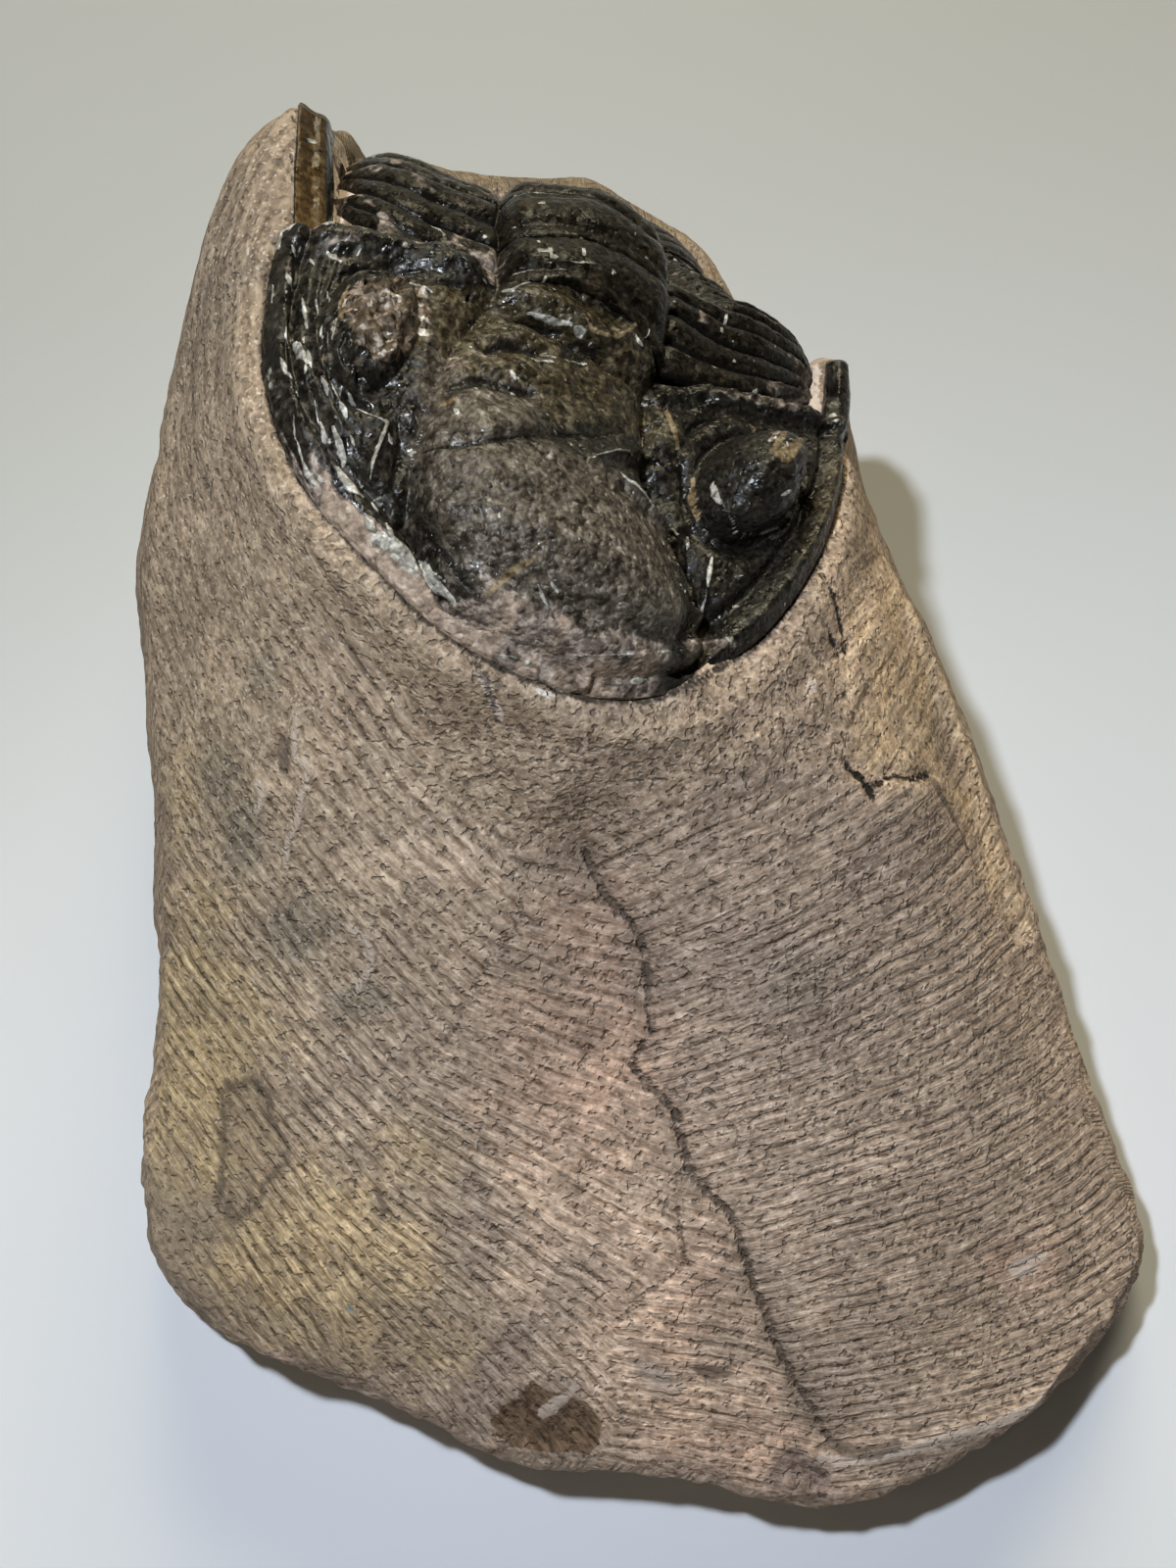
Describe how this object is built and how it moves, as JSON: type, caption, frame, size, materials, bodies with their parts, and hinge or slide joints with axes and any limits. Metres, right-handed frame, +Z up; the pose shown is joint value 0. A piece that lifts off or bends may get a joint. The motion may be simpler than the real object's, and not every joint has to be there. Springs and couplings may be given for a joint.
{
  "type": "trilobite fossil",
  "caption": "Spiny trilobite fossil bent over the high end of a hand-carved wedge of pinkish limestone matrix, head shield facing up the slope.",
  "frame": {"origin": "middle of the flat base of the block", "axes": "+Z up out of the base, +Y along the block from the low carved foot to the high end with the trilobite, +X to the right seen from the foot"},
  "size_m": [0.0754, 0.1074, 0.0557],
  "materials": {
    "rock": "chiselled, matt",
    "head_shell": "polished, granular",
    "body_shell": "polished, granular"
  },
  "bodies": {
    "root": {"matrix": "rock", "cephalon": "head_shell", "thoracic_segment_01": "body_shell", "thoracic_segment_02": "body_shell", "thoracic_segment_03": "body_shell", "thoracic_segment_04": "body_shell", "thoracic_segment_05": "body_shell", "thoracic_segment_06": "body_shell", "thoracic_segment_07": "body_shell", "thoracic_segment_08": "body_shell", "thoracic_segment_09": "body_shell", "thoracic_segment_10": "body_shell", "thoracic_segment_11": "body_shell", "pygidium": "body_shell"}
  },
  "joints": []
}
